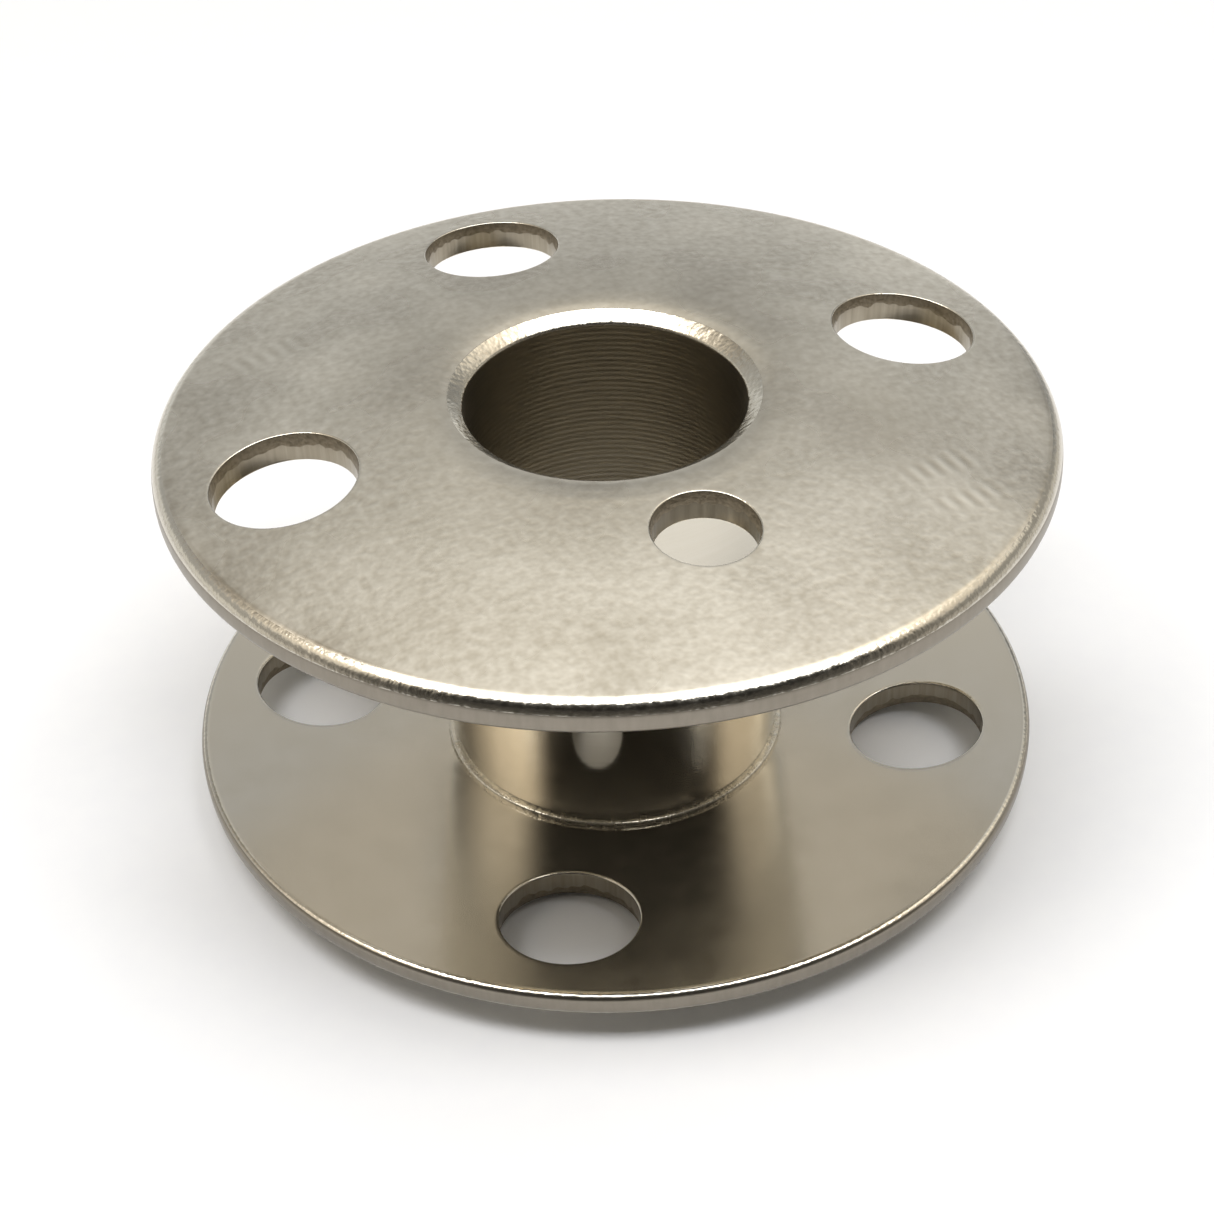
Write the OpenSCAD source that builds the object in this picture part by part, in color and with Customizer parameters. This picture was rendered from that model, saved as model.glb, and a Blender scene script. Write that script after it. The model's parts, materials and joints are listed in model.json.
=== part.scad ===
// Empty metal thread bobbin: a turned hub tube with a domed flange swaged onto each end.
// The bore runs along Z and the bobbin stands on its lower end face, which is the plane Z = 0.

/* [Overall] */
// Height between the two flat end faces around the bore
overall_h = 10.3; // [9:0.1:12]
// Height between the outside faces of the flanges at their rims
rim_h = 8.9; // [8.4:0.1:9.2]

/* [Flanges] */
// Outside diameter of each flange
flange_d = 20.5; // [20:0.1:24]
// Thickness of the flange sheet
flange_t = 0.7; // [0.5:0.05:0.9]
// Diameter of the flat centre where the hub shoulder clamps the sheet
seat_d = 8.46; // [8.46:0.02:8.8]
// Radius of the rim edge on the outside face
rim_outer_round = 0.28; // [0.15:0.01:0.35]
// Radius of the rim edge on the face towards the thread
rim_inner_round = 0.1; // [0.05:0.01:0.14]

/* [Flange holes] */
// Diameter of the three large holes
large_hole_d = 3.3; // [2.6:0.1:3.8]
// Distance of the large holes from the bore axis
large_hole_at = 7.5; // [7:0.1:7.8]
// Diameter of the small hole that a winder pin drives
small_hole_d = 2.35; // [1.6:0.05:2.5]
// Distance of the small hole from the bore axis
small_hole_at = 5.6; // [5.5:0.1:7]
// Angle from one hole to the next around the bore
hole_step = 90; // [80:5:90]
// Direction of the small hole in the upper flange
upper_turn = -90; // [-180:1:180]
// Direction of the small hole in the lower flange
lower_turn = 60; // [-180:1:180]

/* [Hub] */
// Diameter of the spindle bore
bore_d = 6.4; // [6:0.05:6.5]
// Outside diameter of the hub where the thread is wound
hub_d = 8.1; // [7.9:0.05:8.2]
// Diameter of the bead that swaging raises at each shoulder
foot_d = 8.34; // [8.3:0.02:8.4]
// Height of that bead along the hub
foot_h = 0.12; // [0.06:0.01:0.2]
// Diameter of the spigot inside each flange
spigot_d = 6.8; // [6.75:0.05:6.9]
// Diameter of the flared lip at each end face
lip_d = 7.1; // [7.1:0.05:7.3]
// Depth of the flare below the end face
lip_depth = 0.35; // [0.2:0.05:0.4]
// Rounding from the end face into the bore
bore_round = 0.3; // [0.15:0.01:0.3]
// Clearance between the spigot and the hole it is flared into
swage_gap = 0.01; // [0:0.005:0.03]

/* [Hidden] */
$fn = 128;
mid_z = overall_h/2;
flange_r = flange_d/2;
seat_r = seat_d/2;
bore_r = bore_d/2;
hub_r = hub_d/2;
foot_r = foot_d/2;
spigot_r = spigot_d/2;
lip_r = lip_d/2;
// How far the flat centre stands out beyond the rim
dome_rise = (overall_h - rim_h)/2;
// Height of the flat centre over the centre of the sphere that the outside face is pressed to
seat_over = (flange_r*flange_r - seat_r*seat_r + dome_rise*dome_rise)/(2*dome_rise);
// Radius of that sphere, and of the face towards the thread
outer_dome_r = norm([seat_r, seat_over]);
inner_dome_r = outer_dome_r - flange_t;
// Extra length of a cutting tool beyond the face that it cuts
cut_over = 1;

// Area under one face of a flange, from the axis to the rim, with its flat centre
module face_area(dome_r, flat_z) {
    intersection() {
        circle(r = dome_r);
        square([flange_r, flat_z]);
    }
}

// Corner that a rim rounding takes away, where its arc centre lies reach from the sphere centre
// and the corner lies on the side of that centre that the sign of side gives
module rim_corner(reach, round_r, side) {
    arc_at = [flange_r - round_r, sqrt(reach*reach - pow(flange_r - round_r, 2))];
    face_way = side*arc_at/norm(arc_at);
    difference() {
        polygon([
            arc_at,
            arc_at + face_way*cut_over,
            arc_at + [cut_over, side*cut_over],
            arc_at + [cut_over, 0]
        ]);
        translate(arc_at) circle(r = round_r);
    }
}

// Area of the hole in a flange: straight round the spigot, then widening round the lip
module swage_hole_area() {
    hole_r = spigot_r + swage_gap;
    mouth_r = lip_r + swage_gap;
    polygon([
        [0, seat_over - flange_t - cut_over],
        [hole_r, seat_over - flange_t - cut_over],
        [hole_r, seat_over - lip_depth],
        [mouth_r, seat_over],
        [mouth_r, seat_over + cut_over],
        [0, seat_over + cut_over]
    ]);
}

// Cross-section of a flange, measured from the centre of its sphere
module flange_area() {
    difference() {
        face_area(outer_dome_r, seat_over);
        face_area(inner_dome_r, seat_over - flange_t);
        rim_corner(outer_dome_r - rim_outer_round, rim_outer_round, 1);
        rim_corner(inner_dome_r + rim_inner_round, rim_inner_round, -1);
        swage_hole_area();
    }
}

// Punch for one hole, at a distance from the axis and in a direction around it
module punch(hole_d, at, turn) {
    rotate([0, 0, turn])
        translate([at, 0, -flange_t - dome_rise - cut_over])
            cylinder(h = flange_t + dome_rise + 2*cut_over, d = hole_d);
}

// Pressed and punched disc with its flat centre at Z = 0 and its dome upwards
module flange(turn) {
    difference() {
        translate([0, 0, -seat_over]) rotate_extrude() flange_area();
        punch(small_hole_d, small_hole_at, turn);
        for (i = [1:3]) punch(large_hole_d, large_hole_at, turn + i*hole_step);
    }
}

// Cross-section of the upper half of the hub wall, measured from its middle
module hub_half_area() {
    shoulder_z = mid_z - flange_t;
    round_at = [bore_r + bore_round, mid_z - bore_round];
    difference() {
        polygon([
            [bore_r, 0],
            [hub_r, 0],
            [hub_r, shoulder_z - foot_h],
            [foot_r, shoulder_z - foot_h],
            [foot_r, shoulder_z],
            [spigot_r, shoulder_z],
            [spigot_r, mid_z - lip_depth],
            [lip_r, mid_z],
            [bore_r, mid_z]
        ]);
        difference() {
            translate([bore_r, mid_z - bore_round]) square(bore_round);
            translate(round_at) circle(r = bore_round);
        }
    }
}

// Turned tube, the same at both ends
module hub() {
    color("#b9b3a4")
        translate([0, 0, mid_z])
            rotate_extrude() {
                hub_half_area();
                mirror([0, 1]) hub_half_area();
            }
}

module upper_flange() {
    color("#c3bdae")
        translate([0, 0, overall_h]) flange(upper_turn);
}

// The same disc with its dome downwards
module lower_flange() {
    color("#bcb6a6")
        mirror([0, 0, 1]) flange(lower_turn);
}

hub();
upper_flange();
lower_flange();
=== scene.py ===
import json
import math

import bmesh
import bpy
from mathutils import Matrix, Vector, noise


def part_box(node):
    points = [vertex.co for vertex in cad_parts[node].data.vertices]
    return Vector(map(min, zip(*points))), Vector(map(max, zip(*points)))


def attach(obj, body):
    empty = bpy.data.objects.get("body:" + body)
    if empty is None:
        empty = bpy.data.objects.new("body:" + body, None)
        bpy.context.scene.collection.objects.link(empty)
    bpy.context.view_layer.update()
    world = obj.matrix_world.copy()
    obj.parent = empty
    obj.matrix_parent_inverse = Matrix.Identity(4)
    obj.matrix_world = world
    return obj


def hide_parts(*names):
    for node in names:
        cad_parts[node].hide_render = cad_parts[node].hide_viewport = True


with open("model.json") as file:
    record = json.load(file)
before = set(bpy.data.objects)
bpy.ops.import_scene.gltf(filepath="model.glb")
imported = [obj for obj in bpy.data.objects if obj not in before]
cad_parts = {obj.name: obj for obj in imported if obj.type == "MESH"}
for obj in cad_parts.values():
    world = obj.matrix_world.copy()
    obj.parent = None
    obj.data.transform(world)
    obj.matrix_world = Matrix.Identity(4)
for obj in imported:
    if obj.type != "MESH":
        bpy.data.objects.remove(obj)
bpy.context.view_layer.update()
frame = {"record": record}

# Hub
# The core of the bobbin is a steel tube turned on a lathe and bright nickel plated. A shoulder at each
# end stops a flange, and the thin spigot past it is flared outwards into the flange, which locks it.
MM = 0.001
weld_gap = 0.0005
mounts = {mount["name"]: mount for mount in frame["record"]["mounts"]}
bore_r = mounts["spindle_bore"]["dims"]["r_mm"]
overall_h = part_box("hub")[1].z / MM - weld_gap
flange_t = 0.7
hub_r = 4.05
foot_r = 4.17
foot_h = 0.12
foot_round = 0.05
spigot_r = 3.4
lip_r = 3.55
lip_depth = 0.35
lip_sink = 0.05
lip_edge_round = 0.02
mouth_depth = 0.28
mouth_round = 0.06
tool_feed = 0.14
tool_depth = 0.006
points_per_feed = 4
ring_shape = (0.5, 1, 0.5, 0, 0.4, 0.8, 0.4, 0, 0.55, 1.1, 0.55, 0, 0.45, 0.9, 0.45, 0)
hub_sides = 192
round_segments = 4
sharp_angle = math.radians(40)
bored_finish = 1
struck_finish = 2

hub_mesh = bmesh.new()
lower_steps = [
    (lip_r, lip_sink),
    (spigot_r, lip_depth),
    (spigot_r, flange_t),
    (foot_r, flange_t),
    (foot_r, flange_t + foot_h),
    (hub_r, flange_t + foot_h),
]
upper_steps = [(r, overall_h - z) for r, z in reversed(lower_steps)]
bore_steps = [
    (bore_r, overall_h - mouth_depth),
    (bore_r, mouth_depth),
]
corners = [hub_mesh.verts.new((r, 0, z)) for r, z in lower_steps + upper_steps + bore_steps]
for corner, next_corner in zip(corners, corners[1:] + corners[:1]):
    hub_mesh.edges.new((corner, next_corner))
mouths = corners[-2:]
outside = corners[:-2]
roundings = [
    (mouth_round, mouths),
    (foot_round, [outside[4], outside[-5]]),
    (lip_edge_round, [outside[0], outside[-1]]),
]
for size, rounded in roundings:
    bmesh.ops.bevel(
        hub_mesh, geom=rounded, offset=size, offset_type="OFFSET", segments=round_segments,
        profile=0.5, affect="VERTICES", material=-1,
    )
bore_line = max(
    (edge for edge in hub_mesh.edges if all(vert.co.x < bore_r + weld_gap for vert in edge.verts)),
    key=lambda edge: edge.calc_length(),
)
feeds = round(bore_line.calc_length() / tool_feed)
cut = bmesh.ops.subdivide_edges(hub_mesh, edges=[bore_line], cuts=points_per_feed * feeds - 1)
cut_verts = sorted(
    (item for item in cut["geom_inner"] if isinstance(item, bmesh.types.BMVert)),
    key=lambda vert: vert.co.z,
)
for index, vert in enumerate(cut_verts):
    vert.co.x += tool_depth * ring_shape[index % len(ring_shape)]
bmesh.ops.spin(
    hub_mesh, geom=hub_mesh.verts[:] + hub_mesh.edges[:], cent=(0, 0, 0), axis=(0, 0, 1),
    angle=math.tau, steps=hub_sides, use_merge=True,
)


def linear(hex_colour):
    srgb = [int(hex_colour[i:i + 2], 16) / 255 for i in (1, 3, 5)]
    return [c / 12.92 if c <= 0.04045 else ((c + 0.055) / 1.055) ** 2.4 for c in srgb] + [1]


def add_node(tree, kind, links=None, **settings):
    node = tree.nodes.new(kind)
    for name, value in settings.items():
        setattr(node, name, value)
    for socket, value in (links or {}).items():
        if isinstance(value, bpy.types.NodeSocket):
            tree.links.new(value, node.inputs[socket])
        else:
            node.inputs[socket].default_value = value
    return node


def new_metal(name):
    material = bpy.data.materials.new(name)
    material.use_nodes = True
    tree = material.node_tree
    shader = tree.nodes["Principled BSDF"]
    shader.inputs["Metallic"].default_value = 1
    coords = add_node(tree, "ShaderNodeTexCoord")
    return material, tree, shader, coords.outputs["Object"]


# Bright nickel over a turned surface: a warm mirror, blurred a little by turning lines around it.
turned_nickel, tree, shader, coords = new_metal("bright_nickel_on_turned_steel")
turning_line = 0.05 * MM
turning_run = 3 * MM
stretch = add_node(tree, "ShaderNodeMapping", {
    "Vector": coords, "Scale": (turning_run, turning_run, turning_line),
}, vector_type="TEXTURE")
lines = add_node(tree, "ShaderNodeTexNoise", {
    "Vector": stretch.outputs["Vector"], "Scale": 1, "Detail": 3, "Roughness": 0.6,
})
rough = add_node(tree, "ShaderNodeMapRange", {
    "Value": lines.outputs["Fac"], "To Min": 0.05, "To Max": 0.13,
})
bump = add_node(tree, "ShaderNodeBump", {
    "Height": lines.outputs["Fac"], "Strength": 0.04, "Distance": 0.01 * MM,
})
tint = add_node(tree, "ShaderNodeMix", {
    "Factor": lines.outputs["Fac"], "A": linear("#d8d3c7"), "B": linear("#d0cabb"),
}, data_type="RGBA")
tree.links.new(tint.outputs["Result"], shader.inputs["Base Color"])
tree.links.new(rough.outputs["Result"], shader.inputs["Roughness"])
tree.links.new(bump.outputs["Normal"], shader.inputs["Normal"])

# The bore keeps its tool rings under thin plating, so it is darker and browner than the outside.
bored_nickel, tree, shader, coords = new_metal("thin_nickel_in_turned_bore")
stain_size = 1.2 * MM
stain_and_painted_shade = add_node(tree, "ShaderNodeTexNoise", {
    "Vector": coords, "Scale": 1 / stain_size, "Detail": 4,
})
tint = add_node(tree, "ShaderNodeMix", {
    "Factor": stain_and_painted_shade.outputs["Fac"], "A": linear("#c2bbac"), "B": linear("#aca493"),
}, data_type="RGBA")
rough = add_node(tree, "ShaderNodeMapRange", {
    "Value": stain_and_painted_shade.outputs["Fac"], "To Min": 0.25, "To Max": 0.36,
})
tree.links.new(tint.outputs["Result"], shader.inputs["Base Color"])
tree.links.new(rough.outputs["Result"], shader.inputs["Roughness"])

# Edges that the tools or other bobbins have struck glitter in small facets.
struck_nickel, tree, shader, coords = new_metal("bright_nickel_on_struck_edge")
facet_size = 0.15 * MM
facets = add_node(tree, "ShaderNodeTexNoise", {
    "Vector": coords, "Scale": 1 / facet_size, "Detail": 1,
})
bump = add_node(tree, "ShaderNodeBump", {
    "Height": facets.outputs["Fac"], "Strength": 0.55, "Distance": 0.03 * MM,
})
tint = add_node(tree, "ShaderNodeMix", {
    "Factor": facets.outputs["Fac"], "A": linear("#e0dbcf"), "B": linear("#c9c2b2"),
}, data_type="RGBA")
rough = add_node(tree, "ShaderNodeMapRange", {
    "Value": facets.outputs["Fac"], "To Min": 0.16, "To Max": 0.34,
})
tree.links.new(tint.outputs["Result"], shader.inputs["Base Color"])
tree.links.new(rough.outputs["Result"], shader.inputs["Roughness"])
tree.links.new(bump.outputs["Normal"], shader.inputs["Normal"])


def finished_piece(name, mesh_data, materials):
    bmesh.ops.remove_doubles(mesh_data, verts=mesh_data.verts, dist=weld_gap)
    bmesh.ops.recalc_face_normals(mesh_data, faces=mesh_data.faces)
    bmesh.ops.scale(mesh_data, vec=(MM, MM, MM), verts=mesh_data.verts)
    mesh = bpy.data.meshes.new(name)
    mesh_data.to_mesh(mesh)
    mesh_data.free()
    for material in materials:
        mesh.materials.append(material)
    mesh.shade_smooth()
    mesh.set_sharp_from_angle(angle=sharp_angle)
    piece = bpy.data.objects.new(name, mesh)
    bpy.context.scene.collection.objects.link(piece)
    weighted = piece.modifiers.new("face_weighted_normals", "WEIGHTED_NORMAL")
    weighted.keep_sharp = True
    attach(piece, "root")
    return piece


for face in hub_mesh.faces:
    middle = face.calc_center_median()
    from_end = min(middle.z, overall_h - middle.z)
    if math.hypot(middle.x, middle.y) < bore_r + 2 * tool_depth:
        face.material_index = bored_finish
    elif from_end < mouth_depth or flange_t < from_end < flange_t + foot_h + weld_gap:
        face.material_index = struck_finish
hub = finished_piece("hub_tube", hub_mesh, [turned_nickel, bored_nickel, struck_nickel])
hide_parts("hub")

# Flanges
# Each flange is a disc blanked from steel sheet, punched with three large holes and a small one,
# pressed to a shallow dome and tumbled before plating, so its rim is round and smooth.
satin_finish, smooth_finish, rim_finish, punched_finish, edge_finish, torn_finish, dragged_finish = range(7)
flange_corners = [abs(axis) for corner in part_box("upper_flange") for axis in corner[:2]]
flange_r = min(flange_corners) / MM - weld_gap
rim_h = 8.9
seat_r = 4.23
seat_bend = 0.2
eye_r = 3.545
eye_sink = 0.055
sunk_to_r = 4.1
sink_power = 3
eye_rings = (4.08, 3.96, 3.85, 3.75, 3.65, eye_r)
rim_w = 0.5
rim_steps = [
    (rim_w, 0), (0.32, 0), (0.04, 0.094), (0, 0.36), (0, flange_t), (0.23, flange_t), (rim_w, flange_t),
]
rim_roundings = [(0.05, 3, 1), (0.18, 10, 2), (0.08, 4, 3), (0.2, 8, 4)]
satin_depth = 0.02
bright_depth = 0.2
arris_depth = 0.05
rim_finishes = [
    (satin_depth, satin_finish), (bright_depth, rim_finish), (flange_t - arris_depth, edge_finish),
    (flange_t, rim_finish),
]
rim_sides = 256
large_hole = {"r": 1.65, "at": 7.5, "eye_parts": 26, "wall_finish": punched_finish}
small_hole_r = mounts["upper_drive_hole"]["dims"]["r_mm"]
small_hole = {"r": small_hole_r, "at": 5.6, "eye_parts": 76, "wall_finish": dragged_finish}
hole_step = 90
upper_turn = -90
lower_turn = 60
rim_parts = rim_sides // 4
side_parts = 19
hole_margin = 0.08
ring_cuts = 9
patch_in = 4.2
patch_out = flange_r - rim_w
die_roll = 0.06
burr_round = 0.03
edge_segments = 4
wall_below = 0.4
level_above = 0.97
fracture_depth = 0.27
fracture_flare = 0.05
ragged_size = 0.2
ragged_height = 0.12
dome_rise = (overall_h - rim_h) / 2
seat_over = (flange_r ** 2 - seat_r ** 2 + dome_rise ** 2) / (2 * dome_rise)
dome_r = math.hypot(seat_r, seat_over)


def dome_drop(r):
    ease = min(max((r - seat_r + seat_bend) / (2 * seat_bend), 0), 1)
    return ease * max(seat_over - math.sqrt(dome_r ** 2 - r ** 2), 0)


def ring_edges(edges, centre, r, z):
    def on_ring(vert):
        across = math.hypot(vert.co.x - centre.x, vert.co.y - centre.y)
        return abs(across - r) < weld_gap and abs(vert.co.z - z) < weld_gap
    return [edge for edge in edges if all(on_ring(vert) for vert in edge.verts)]


def widen_ring(mesh_data, edges, centre, scale):
    added = bmesh.ops.extrude_edge_only(mesh_data, edges=edges)["geom"]
    verts = [item for item in added if isinstance(item, bmesh.types.BMVert)]
    bmesh.ops.scale(
        mesh_data, vec=(scale, scale, 1), space=Matrix.Translation(-centre), verts=verts
    )
    return [item for item in added if isinstance(item, bmesh.types.BMEdge)]


def add_hole_patch(mesh_data, hole, heading):
    turn = Matrix.Rotation(heading, 4, "Z")
    first_side = turn @ Matrix.Rotation(-math.pi / 4, 4, "Z")
    known = set(mesh_data.edges)
    inner = mesh_data.verts.new(first_side @ Vector((patch_in, 0, 0)))
    outer = mesh_data.verts.new(first_side @ Vector((patch_out, 0, 0)))
    ends = []
    for start, parts in ((inner, hole["eye_parts"]), (outer, rim_parts)):
        arc = bmesh.ops.spin(
            mesh_data, geom=[start], cent=(0, 0, 0), axis=(0, 0, 1), angle=math.pi / 2, steps=parts
        )
        ends.append(next(v for v in arc["geom_last"] if isinstance(v, bmesh.types.BMVert)))
    sides = [mesh_data.edges.new((inner, outer)), mesh_data.edges.new(ends)]
    bmesh.ops.subdivide_edges(mesh_data, edges=sides, cuts=side_parts - 1)
    bmesh.ops.create_circle(
        mesh_data, cap_ends=False, radius=hole["r"] + hole_margin,
        segments=hole["eye_parts"] + rim_parts + 2 * side_parts,
        matrix=turn @ Matrix.Translation((hole["at"], 0, 0)),
    )
    loops = [edge for edge in mesh_data.edges if edge not in known]
    bridge = bmesh.ops.bridge_loops(mesh_data, edges=loops)
    bmesh.ops.subdivide_edges(
        mesh_data, edges=bridge["edges"], cuts=ring_cuts, use_grid_fill=True
    )


def add_rim(mesh_data, heading):
    def at_patch_edge(vert):
        return abs(math.hypot(vert.co.x, vert.co.y) - patch_out) < weld_gap
    cut_face = [face for face in mesh_data.faces if all(at_patch_edge(vert) for vert in face.verts)]
    bmesh.ops.delete(mesh_data, geom=cut_face, context="FACES")
    known = {*mesh_data.verts, *mesh_data.edges}
    turn = Matrix.Rotation(heading, 3, "Z")
    steps = [
        mesh_data.verts.new(turn @ Vector((flange_r - inset, 0, -depth))) for inset, depth in rim_steps
    ]
    for step, next_step in zip(steps, steps[1:]):
        mesh_data.edges.new((step, next_step))
    for size, segments, index in rim_roundings:
        bmesh.ops.bevel(
            mesh_data, geom=[steps[index]], offset=size, offset_type="OFFSET", segments=segments,
            profile=0.5, affect="VERTICES", material=-1,
        )
    outline = [part for part in (*mesh_data.verts, *mesh_data.edges) if part not in known]
    bmesh.ops.spin(
        mesh_data, geom=outline, cent=(0, 0, 0), axis=(0, 0, 1), angle=math.tau, steps=rim_sides,
        use_merge=True,
    )
    bmesh.ops.remove_doubles(mesh_data, verts=mesh_data.verts, dist=weld_gap)


def flange_mesh(small_hole_heading):
    mesh_data = bmesh.new()
    axis = Vector((0, 0, 0))
    holes = []
    for quarter in range(4):
        hole = large_hole if quarter else small_hole
        heading = math.radians(small_hole_heading + hole_step * quarter)
        centre = Matrix.Rotation(heading, 3, "Z") @ Vector((hole["at"], 0, 0))
        holes.append((hole["r"] - fracture_flare, centre, hole["wall_finish"]))
        add_hole_patch(mesh_data, hole, heading)
    bmesh.ops.remove_doubles(mesh_data, verts=mesh_data.verts, dist=weld_gap)

    free_edges = [edge for edge in mesh_data.edges if edge.is_boundary]
    for r, centre, _ in holes:
        edge_r = r + fracture_flare + hole_margin
        widen_ring(mesh_data, ring_edges(free_edges, centre, edge_r, 0), centre, r / edge_r)
    eye = ring_edges(free_edges, axis, patch_in, 0)
    last_r = patch_in
    for next_r in eye_rings:
        eye = widen_ring(mesh_data, eye, axis, next_r / last_r)
        last_r = next_r

    sheet = bmesh.ops.extrude_face_region(mesh_data, geom=mesh_data.faces[:])["geom"]
    lower = [item for item in sheet if isinstance(item, bmesh.types.BMVert)]
    bmesh.ops.translate(mesh_data, vec=(0, 0, -flange_t), verts=lower)
    add_rim(mesh_data, math.radians(small_hole_heading))

    for r, centre, _ in holes:
        torn_ring = ring_edges(mesh_data.edges, centre, r, 0)
        wall_edges = torn_ring + ring_edges(mesh_data.edges, centre, r, -flange_t)
        wall_verts = {vert for edge in wall_edges for vert in edge.verts}
        wall = [face for face in mesh_data.faces if wall_verts.issuperset(face.verts)]
        wall_parts = {item for face in wall for item in (face, *face.edges, *face.verts)}
        cut = bmesh.ops.bisect_plane(
            mesh_data, geom=list(wall_parts), plane_co=(0, 0, -fracture_depth), plane_no=(0, 0, 1)
        )["geom_cut"]
        for vert in (item for item in cut if isinstance(item, bmesh.types.BMVert)):
            vert.co.z += ragged_height * noise.noise(vert.co / ragged_size)
        scale = 1 + fracture_flare / r
        bmesh.ops.scale(
            mesh_data, vec=(scale, scale, 1), space=Matrix.Translation(-centre),
            verts=list({vert for edge in torn_ring for vert in edge.verts}),
        )
        for size, edge_r, z in ((die_roll, r, -flange_t), (burr_round, r + fracture_flare, 0)):
            bmesh.ops.bevel(
                mesh_data, geom=ring_edges(mesh_data.edges, centre, edge_r, z), offset=size,
                offset_type="OFFSET", segments=edge_segments, profile=0.5, affect="EDGES", material=-1,
            )

    bmesh.ops.recalc_face_normals(mesh_data, faces=mesh_data.faces)
    for face in mesh_data.faces:
        middle = face.calc_center_median()
        at_hole = [
            wall_finish for r, centre, wall_finish in holes
            if math.dist(middle[:2], centre[:2]) < r + fracture_flare + burr_round
        ]
        if at_hole and abs(face.normal.z) < wall_below:
            face.material_index = torn_finish if middle.z > -fracture_depth else at_hole[0]
        elif at_hole:
            face.material_index = rim_finish
        elif math.hypot(middle.x, middle.y) > patch_out and face.normal.z > -level_above:
            face.material_index = next(finish for depth, finish in rim_finishes if -middle.z < depth)
        elif face.normal.z < 0:
            face.material_index = smooth_finish
    for vert in mesh_data.verts:
        r = math.hypot(vert.co.x, vert.co.y)
        sink = eye_sink * min(max((sunk_to_r - r) / (sunk_to_r - eye_r), 0), 1) ** sink_power
        vert.co.z -= dome_drop(r) + sink * (vert.co.z > -weld_gap)
    return mesh_data


# Satin nickel on the outside faces: a soft warm grey, mottled like orange peel, with two patches of
# chatter marks from the press. A brown ring around the swaged lip is part tarnish and part painted shade,
# and a browner patch of painted shade darkens one side.
satin_nickel, tree, shader, coords = new_metal("satin_nickel_on_pressed_sheet")
peel_size = 0.2 * MM
cloud_size = 2.5 * MM
# At this scale the Wave node draws one wave in one unit of length.
one_wave = math.tau / 20
mark_pitch = 0.36 * MM
mark_heading = math.radians(12)
mark_run = 1.4 * MM
mark_places = [((5.65, -5.84, 9.9), 0.8), ((-6.5, 5.3, 9.9), 0.5)]
mark_spread = 1.6 * MM
# Centre and spread of a patch of painted shade, then the width of the ring of tarnish and painted shade
# around the lip.
painted_shade_at = (4.8, -3.4, 9.9)
painted_shade_spread = 3.2 * MM
lip_ring_w = 3
peel = add_node(tree, "ShaderNodeTexNoise", {"Vector": coords, "Scale": 1 / peel_size, "Detail": 1})
clouds = add_node(tree, "ShaderNodeTexNoise", {"Vector": coords, "Scale": 1 / cloud_size, "Detail": 1})
across = add_node(tree, "ShaderNodeMapping", {
    "Vector": coords, "Rotation": (0, 0, mark_heading), "Scale": (mark_pitch, mark_pitch, mark_pitch),
}, vector_type="TEXTURE")
marks = add_node(tree, "ShaderNodeTexWave", {
    "Vector": across.outputs["Vector"], "Scale": one_wave, "Distortion": 1.5, "Detail": 1,
    "Detail Scale": 0.3,
})
strokes = add_node(tree, "ShaderNodeTexWave", {
    "Vector": across.outputs["Vector"], "Scale": one_wave * mark_pitch / mark_run, "Distortion": 2,
    "Detail": 1, "Detail Scale": 2,
}, bands_direction="Y")
relief = peel.outputs["Fac"]
for place, strength in mark_places:
    away = add_node(tree, "ShaderNodeVectorMath", {
        0: coords, 1: [axis * MM for axis in place],
    }, operation="DISTANCE")
    marked = add_node(tree, "ShaderNodeMapRange", {
        "Value": away.outputs["Value"], "From Min": mark_spread / 3, "From Max": mark_spread,
        "To Min": strength, "To Max": 0,
    }, interpolation_type="SMOOTHSTEP")
    stroked = add_node(tree, "ShaderNodeMath", {
        0: marked.outputs["Result"], 1: strokes.outputs["Fac"],
    }, operation="MULTIPLY")
    mixed = add_node(tree, "ShaderNodeMix", {
        "Factor": stroked.outputs["Value"], "A": relief, "B": marks.outputs["Fac"],
    })
    relief = mixed.outputs["Result"]
bump = add_node(tree, "ShaderNodeBump", {
    "Height": relief, "Strength": 0.3, "Distance": 0.02 * MM,
})
rough = add_node(tree, "ShaderNodeMapRange", {
    "Value": clouds.outputs["Fac"], "From Min": 0.3, "From Max": 0.7, "To Min": 0.24, "To Max": 0.33,
})
from_axis = add_node(tree, "ShaderNodeVectorMath", {
    0: coords, 1: (1, 1, 0),
}, operation="MULTIPLY")
radius = add_node(tree, "ShaderNodeVectorMath", {0: from_axis.outputs["Vector"]}, operation="LENGTH")
# A ring of tarnish and painted shade, darkest at the lip and fading out over 3 mm.
lip_tarnish_and_shade = add_node(tree, "ShaderNodeMapRange", {
    "Value": radius.outputs["Value"], "From Min": lip_r * MM, "From Max": (lip_r + lip_ring_w) * MM,
    "To Min": 0.45, "To Max": 0,
})
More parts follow.
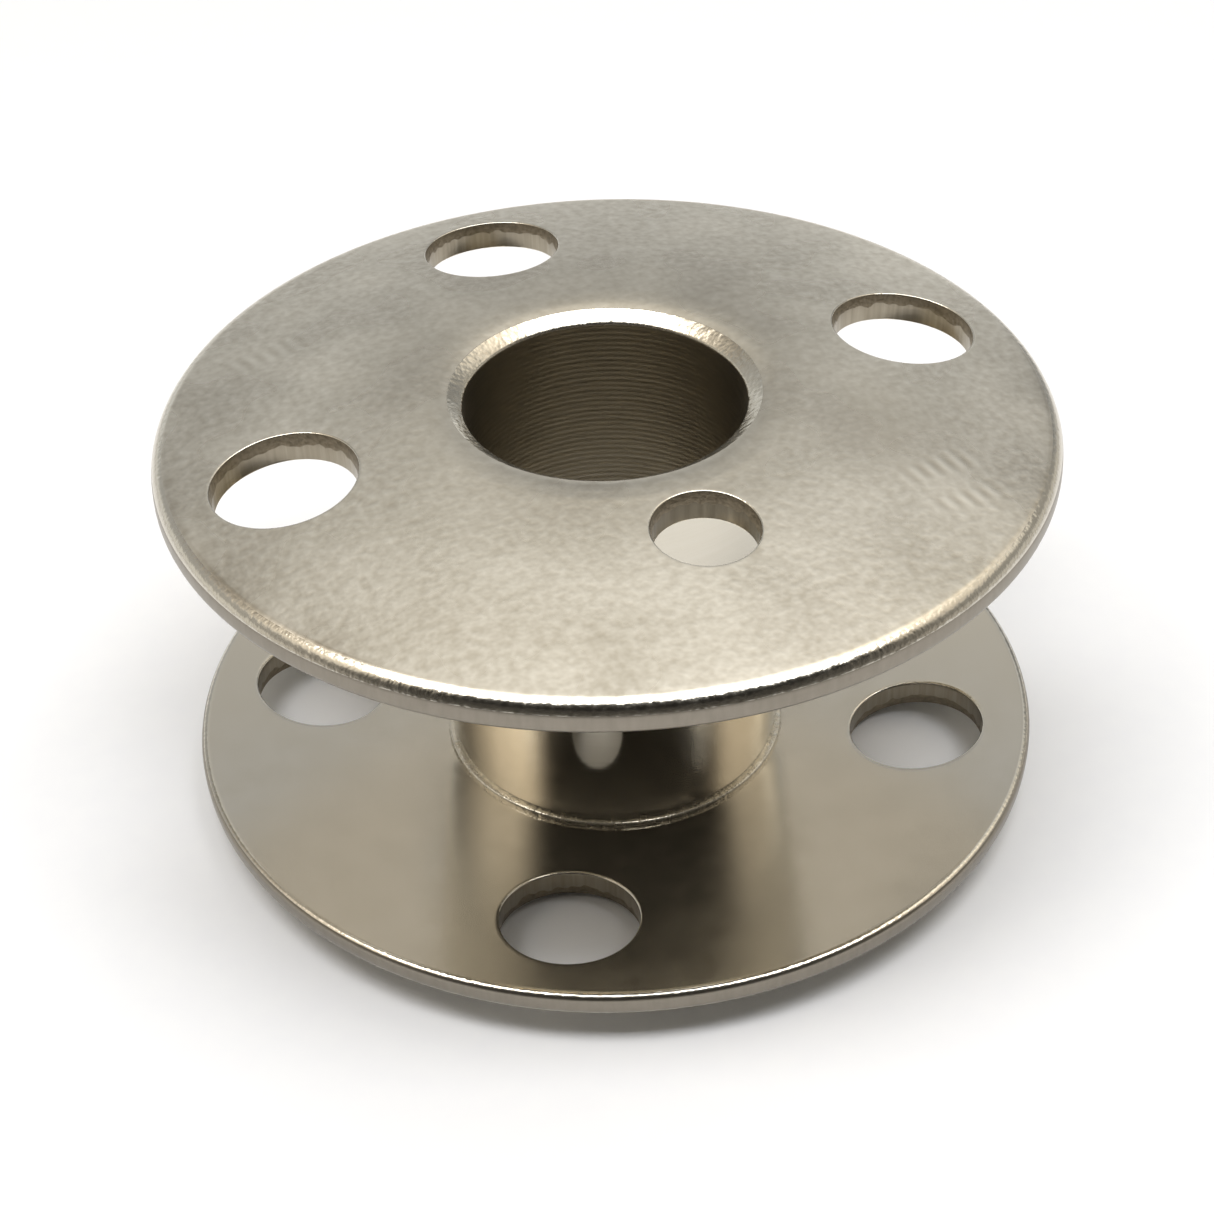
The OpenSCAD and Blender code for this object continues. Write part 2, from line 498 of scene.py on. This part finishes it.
# A patch of painted shade darkens and browns one side of the face.
painted_shade_away = add_node(tree, "ShaderNodeVectorMath", {
    0: coords, 1: [axis * MM for axis in painted_shade_at],
}, operation="DISTANCE")
stain_and_painted_shade = add_node(tree, "ShaderNodeMapRange", {
    "Value": painted_shade_away.outputs["Value"], "From Min": 0, "From Max": painted_shade_spread,
    "To Min": 0.55, "To Max": 0,
}, interpolation_type="SMOOTHSTEP")
browned = add_node(tree, "ShaderNodeMath", {
    0: lip_tarnish_and_shade.outputs["Result"], 1: stain_and_painted_shade.outputs["Result"],
}, operation="MAXIMUM")
drift = add_node(tree, "ShaderNodeMapRange", {
    "Value": clouds.outputs["Fac"], "From Min": 0.3, "From Max": 0.7, "To Min": -0.12, "To Max": 0.12,
})
shade = add_node(tree, "ShaderNodeMath", {0: relief, 1: drift.outputs["Result"]}, operation="ADD")
tint = add_node(tree, "ShaderNodeMix", {
    "Factor": shade.outputs["Value"], "A": linear("#beb6a6"), "B": linear("#ebe6da"),
}, data_type="RGBA")
# Tint the face towards a darker brown under the ring and the patch of painted shade.
tarnished_and_shaded = add_node(tree, "ShaderNodeMix", {
    "Factor": browned.outputs["Value"], "A": tint.outputs["Result"], "B": linear("#b8b0a0"),
}, data_type="RGBA")
tree.links.new(tarnished_and_shaded.outputs["Result"], shader.inputs["Base Color"])
tree.links.new(rough.outputs["Result"], shader.inputs["Roughness"])
tree.links.new(bump.outputs["Normal"], shader.inputs["Normal"])

# The faces towards the thread stay as smooth as the plated sheet, because nothing rubs them.
smooth_nickel, tree, shader, coords = new_metal("smooth_nickel_on_pressed_sheet")
mottle_size = 0.9 * MM
mottle = add_node(tree, "ShaderNodeTexNoise", {
    "Vector": coords, "Scale": 1 / mottle_size, "Detail": 5, "Roughness": 0.6,
})
rough = add_node(tree, "ShaderNodeMapRange", {
    "Value": mottle.outputs["Fac"], "From Min": 0.3, "From Max": 0.7, "To Min": 0.14, "To Max": 0.2,
})
tint = add_node(tree, "ShaderNodeMix", {
    "Factor": mottle.outputs["Fac"], "A": linear("#cec9bf"), "B": linear("#c6c0b3"),
}, data_type="RGBA")
tree.links.new(tint.outputs["Result"], shader.inputs["Base Color"])
tree.links.new(rough.outputs["Result"], shader.inputs["Roughness"])

# The tumbled rim is the brightest part of a flange, with a few dark pits left from blanking.
rim_nickel, tree, shader, coords = new_metal("bright_nickel_on_tumbled_rim")
pit_spacing = 1.4 * MM
scuff_size = 0.12 * MM
pit = add_node(tree, "ShaderNodeTexVoronoi", {"Vector": coords, "Scale": 1 / pit_spacing})
pitted = add_node(tree, "ShaderNodeMapRange", {
    "Value": pit.outputs["Distance"], "From Min": 0.03, "From Max": 0.07, "To Min": 1, "To Max": 0,
})
tint = add_node(tree, "ShaderNodeMix", {
    "Factor": pitted.outputs["Result"], "A": linear("#d4cfc3"), "B": linear("#4a4335"),
}, data_type="RGBA")
scuff = add_node(tree, "ShaderNodeTexNoise", {
    "Vector": coords, "Scale": 1 / scuff_size, "Detail": 1,
})
rough = add_node(tree, "ShaderNodeMapRange", {
    "Value": scuff.outputs["Fac"], "To Min": 0.12, "To Max": 0.26,
})
bump = add_node(tree, "ShaderNodeBump", {
    "Height": scuff.outputs["Fac"], "Strength": 0.45, "Distance": 0.02 * MM,
})
tree.links.new(tint.outputs["Result"], shader.inputs["Base Color"])
tree.links.new(rough.outputs["Result"], shader.inputs["Roughness"])
tree.links.new(bump.outputs["Normal"], shader.inputs["Normal"])

# The blanked edge is dull, because it is rough from the shears, and its dark grey is painted shade.
shaded_edge_nickel, tree, shader, coords = new_metal("shade_darkened_nickel_on_blanked_edge")
tear_width = 0.15 * MM
tear_run = 0.6 * MM
torn = add_node(tree, "ShaderNodeMapping", {
    "Vector": coords, "Scale": (tear_width, tear_width, tear_run),
}, vector_type="TEXTURE")
tears = add_node(tree, "ShaderNodeTexNoise", {
    "Vector": torn.outputs["Vector"], "Scale": 1, "Detail": 4,
})
# Both tones are kept dark as painted shade, with torn streaks between them.
tint = add_node(tree, "ShaderNodeMix", {
    "Factor": tears.outputs["Fac"], "A": linear("#968f84"), "B": linear("#837d72"),
}, data_type="RGBA")
shader.inputs["Roughness"].default_value = 0.32
tree.links.new(tint.outputs["Result"], shader.inputs["Base Color"])

# The part of a hole wall that the punch sheared is smooth and streaked along the punch.
punched_nickel, tree, shader, coords = new_metal("thin_nickel_on_punched_wall")
streak_width = 0.1 * MM
streak_run = 2 * MM
drawn = add_node(tree, "ShaderNodeMapping", {
    "Vector": coords, "Scale": (streak_width, streak_width, streak_run),
}, vector_type="TEXTURE")
streaks = add_node(tree, "ShaderNodeTexNoise", {
    "Vector": drawn.outputs["Vector"], "Scale": 1, "Detail": 3,
})
tint = add_node(tree, "ShaderNodeMix", {
    "Factor": streaks.outputs["Fac"], "A": linear("#aca494"), "B": linear("#857c6b"),
}, data_type="RGBA")
bump = add_node(tree, "ShaderNodeBump", {
    "Height": streaks.outputs["Fac"], "Strength": 0.3, "Distance": 0.02 * MM,
})
shader.inputs["Roughness"].default_value = 0.32
tree.links.new(tint.outputs["Result"], shader.inputs["Base Color"])
tree.links.new(bump.outputs["Normal"], shader.inputs["Normal"])

# The part that tore off is dark and grainy, because the plating hardly covers the broken steel.
torn_nickel, tree, shader, coords = new_metal("thin_nickel_on_torn_wall")
grain_size = 0.1 * MM
grain = add_node(tree, "ShaderNodeTexNoise", {
    "Vector": coords, "Scale": 1 / grain_size, "Detail": 2,
})
tint = add_node(tree, "ShaderNodeMix", {
    "Factor": grain.outputs["Fac"], "A": linear("#a09581"), "B": linear("#675e4e"),
}, data_type="RGBA")
bump = add_node(tree, "ShaderNodeBump", {
    "Height": grain.outputs["Fac"], "Strength": 0.6, "Distance": 0.03 * MM,
})
shader.inputs["Roughness"].default_value = 0.5
tree.links.new(tint.outputs["Result"], shader.inputs["Base Color"])
tree.links.new(bump.outputs["Normal"], shader.inputs["Normal"])

# The wall of the small hole is streaked and darker than the walls of the large holes.
dragged_nickel, tree, shader, coords = new_metal("darker_nickel_on_small_hole_wall")
drag_width = 0.14 * MM
drag_run = 1.5 * MM
dragged = add_node(tree, "ShaderNodeMapping", {
    "Vector": coords, "Scale": (drag_width, drag_width, drag_run),
}, vector_type="TEXTURE")
drags = add_node(tree, "ShaderNodeTexNoise", {
    "Vector": dragged.outputs["Vector"], "Scale": 1, "Detail": 4,
})
tint = add_node(tree, "ShaderNodeMix", {
    "Factor": drags.outputs["Fac"], "A": linear("#857d6d"), "B": linear("#4d473b"),
}, data_type="RGBA")
bump = add_node(tree, "ShaderNodeBump", {
    "Height": drags.outputs["Fac"], "Strength": 0.5, "Distance": 0.03 * MM,
})
shader.inputs["Roughness"].default_value = 0.36
tree.links.new(tint.outputs["Result"], shader.inputs["Base Color"])
tree.links.new(bump.outputs["Normal"], shader.inputs["Normal"])

sheet_finishes = [
    satin_nickel, smooth_nickel, rim_nickel, punched_nickel, shaded_edge_nickel, torn_nickel, dragged_nickel,
]
upper_mesh = flange_mesh(upper_turn)
bmesh.ops.translate(upper_mesh, vec=(0, 0, overall_h), verts=upper_mesh.verts)
upper_flange = finished_piece("upper_flange_disc", upper_mesh, sheet_finishes)
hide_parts("upper_flange")

lower_mesh = flange_mesh(lower_turn)
bmesh.ops.scale(lower_mesh, vec=(1, 1, -1), verts=lower_mesh.verts)
lower_flange = finished_piece("lower_flange_disc", lower_mesh, sheet_finishes)
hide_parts("lower_flange")

# Floor
# The bobbin stands on a wide sheet of plain white paper, matt and without pattern.
floor_r = 3
floor_sides = 96
floor_mesh = bmesh.new()
bmesh.ops.create_circle(floor_mesh, cap_ends=True, radius=floor_r, segments=floor_sides)
# Matt white paper: nearly even, with a faint cloud of fibres.
paper = bpy.data.materials.new("matt_white_cast_paper")
paper.use_nodes = True
tree = paper.node_tree
shader = tree.nodes["Principled BSDF"]
fibre_size = 0.8 * MM
coords = add_node(tree, "ShaderNodeTexCoord")
fibres = add_node(tree, "ShaderNodeTexNoise", {
    "Vector": coords.outputs["Object"], "Scale": 1 / fibre_size, "Detail": 3,
})
tint = add_node(tree, "ShaderNodeMix", {
    "Factor": fibres.outputs["Fac"], "A": linear("#f3f5fa"), "B": linear("#f7f9fc"),
}, data_type="RGBA")
tree.links.new(tint.outputs["Result"], shader.inputs["Base Color"])
shader.inputs["Roughness"].default_value = 0.9
floor_data = bpy.data.meshes.new("paper_floor")
floor_mesh.to_mesh(floor_data)
floor_mesh.free()
floor_data.materials.append(paper)
floor = bpy.data.objects.new("paper_floor", floor_data)
bpy.context.scene.collection.objects.link(floor)

# Camera
# A short telephoto lens looks down on the bobbin from the left of its small hole.
photo_px = 1214
focal_px = 2308
view_azimuth = math.radians(-21)
view_elevation = math.radians(37.2)
view_distance = 55.2 * MM
view_roll = math.radians(-2)
aim_right = -0.2 * MM
aim_up = -3.715 * MM
axis_below_centre_px = 120
to_camera = Vector((
    math.sin(view_azimuth) * math.cos(view_elevation),
    -math.cos(view_azimuth) * math.cos(view_elevation),
    math.sin(view_elevation),
))
right = Vector((math.cos(view_azimuth), math.sin(view_azimuth), 0))
up = to_camera.cross(right)
bobbin_centre = Vector((0, 0, overall_h / 2 * MM))
camera_data = bpy.data.cameras.new("camera")
camera_data.sensor_width = 36
camera_data.lens = focal_px / photo_px * camera_data.sensor_width
camera_data.shift_y = axis_below_centre_px / photo_px
camera_data.clip_start = 0.001
camera_data.clip_end = 20
camera = bpy.data.objects.new("camera", camera_data)
camera.location = bobbin_centre + to_camera * view_distance
aim = bobbin_centre + right * aim_right + up * aim_up
looking = (aim - camera.location).to_track_quat("-Z", "Y")
camera.rotation_mode = "QUATERNION"
camera.rotation_quaternion = looking @ Matrix.Rotation(view_roll, 3, "Z").to_quaternion()
bpy.context.scene.collection.objects.link(camera)
bpy.context.scene.camera = camera

# Light
# A soft box hangs over the table, a little towards the camera. The walls of the room are lighter higher
# up and dark on the camera's side. Below them runs a dado in shades of its own, light along its foot.
soft_box_size = (0.26, 0.086)
soft_box_at = Vector((0, -0.022, 0.2))
soft_box_radiance = 5.1
dado_fade_from = math.radians(28)
dado_fade_to = math.radians(38)
soft_box_data = bpy.data.lights.new("soft_box", "AREA")
soft_box_data.shape = "RECTANGLE"
soft_box_data.size, soft_box_data.size_y = soft_box_size
soft_box_data.energy = math.pi * soft_box_size[0] * soft_box_size[1] * soft_box_radiance
soft_box = bpy.data.objects.new("soft_box", soft_box_data)
soft_box.location = Matrix.Rotation(view_azimuth, 3, "Z") @ soft_box_at
soft_box.rotation_euler = (0, 0, view_azimuth)
bpy.context.scene.collection.objects.link(soft_box)

room = bpy.data.worlds.new("grey_room")
room.use_nodes = True
bpy.context.scene.world = room
tree = room.node_tree
direction = add_node(tree, "ShaderNodeTexCoord")
facing = add_node(tree, "ShaderNodeVectorRotate", {
    "Vector": direction.outputs["Generated"], "Angle": -view_azimuth,
}, rotation_type="Z_AXIS")
parts = add_node(tree, "ShaderNodeSeparateXYZ", {"Vector": facing.outputs["Vector"]})
towards_camera = add_node(tree, "ShaderNodeMath", {0: parts.outputs["Y"], 1: -1}, operation="MULTIPLY")
heading = add_node(tree, "ShaderNodeMath", {
    0: parts.outputs["X"], 1: towards_camera.outputs["Value"],
}, operation="ARCTAN2")
turn = add_node(tree, "ShaderNodeMapRange", {
    "Value": heading.outputs["Value"], "From Min": -math.pi, "From Max": math.pi,
})
elevation = add_node(tree, "ShaderNodeMath", {0: parts.outputs["Z"]}, operation="ARCSINE")
rise = add_node(tree, "ShaderNodeMapRange", {
    "Value": elevation.outputs["Value"], "From Min": 0, "From Max": math.pi / 2,
})
over_dado = add_node(tree, "ShaderNodeMapRange", {
    "Value": elevation.outputs["Value"], "From Min": dado_fade_from, "From Max": dado_fade_to,
}, interpolation_type="SMOOTHSTEP")
room_radiance = 1.9
top_share = 1.1
wall_stops = [
    (-180, 1, "#fafbfa"), (-168, 1.12, "#fafbfa"), (-156, 0.9, "#fafbfa"), (-148, 0.42, "#fffaf0"),
    (-132, 0.38, "#fff6e8"), (-119, 0.75, "#fff6e8"), (-108, 1.1, "#fff6e8"), (-96, 1.55, "#fff6e8"),
    (-75, 1.7, "#fff6e8"), (-65, 1.1, "#fff6e8"), (-58, 0.45, "#fff6e8"), (-51, 0.06, "#fff6e8"),
    (-44, 0.02, "#fff6e8"), (66, 0.02, "#fff6e8"), (76, 0.2, "#fff6e8"), (84, 0.75, "#fff6e8"),
    (92, 1.15, "#fff6e8"), (102, 1.35, "#fff6e8"), (114, 1.4, "#fff6e8"), (128, 1.9, "#fffaf0"),
    (138, 1.25, "#fffaf0"), (150, 1.1, "#fafbfa"), (165, 1.22, "#f6f8fb"), (169, 1.03, "#f8fafa"),
    (174, 0.93, "#fafbfa"), (180, 1, "#fafbfa"),
]
dado_stops = [
    (-180, 1, "#fafbfa"), (-165, 1.15, "#fafbfa"), (-150, 1.1, "#fafbfa"), (-95, 1.15, "#fffaf0"),
    (-75, 0.85, "#fff6e8"), (-60, 0.35, "#fff6e8"), (-44, 0.15, "#fff6e8"), (45, 0.15, "#fff6e8"),
    (62, 0.25, "#fff6e8"), (80, 0.6, "#fff6e8"), (100, 0.9, "#fffaf0"), (135, 0.9, "#fffaf0"),
    (142, 0.75, "#fafbfa"), (147, 0.55, "#fafbfa"), (155, 0.5, "#fafbfa"), (161, 1.1, "#fafbfa"),
    (165, 1.7, "#fafbfa"), (170, 1.06, "#fafbfa"), (180, 1, "#fafbfa"),
]
height_stops = [
    (0, 0.78, "#ffffff"), (11, 0.78, "#ffffff"), (16, 0.43, "#ffffff"), (31, 0.43, "#ffffff"),
    (34.5, 0.64, "#ffffff"), (45, 0.67, "#fffbf4"), (52, 1.04, "#fffbf5"), (60, 1.08, "#fffbf5"),
]
ramps = []
for place, first, last, brightest, stops in (
    (turn, -180, 180, room_radiance, wall_stops),
    (turn, -180, 180, room_radiance, dado_stops),
    (rise, 0, 90, top_share, height_stops),
):
    ramp = add_node(tree, "ShaderNodeValToRGB", {"Fac": place.outputs["Result"]})
    while len(ramp.color_ramp.elements) < len(stops):
        ramp.color_ramp.elements.new(0.5)
    for stop, (degrees, share, tone) in zip(ramp.color_ramp.elements, stops):
        stop.position = (degrees - first) / (last - first)
        stop.color = [channel * share / brightest for channel in linear(tone)[:3]] + [1]
    ramps.append(ramp.outputs["Color"])
walls, dado, heights = ramps
sides = add_node(tree, "ShaderNodeMix", {
    "Factor": over_dado.outputs["Result"], "A": dado, "B": walls,
}, data_type="RGBA")
glow = add_node(tree, "ShaderNodeMix", {
    "Factor": 1, "A": sides.outputs["Result"], "B": heights,
}, data_type="RGBA", blend_type="MULTIPLY")
background = tree.nodes["Background"]
tree.links.new(glow.outputs["Result"], background.inputs["Color"])
background.inputs["Strength"].default_value = room_radiance * top_share

bpy.context.scene.view_settings.view_transform = "Standard"
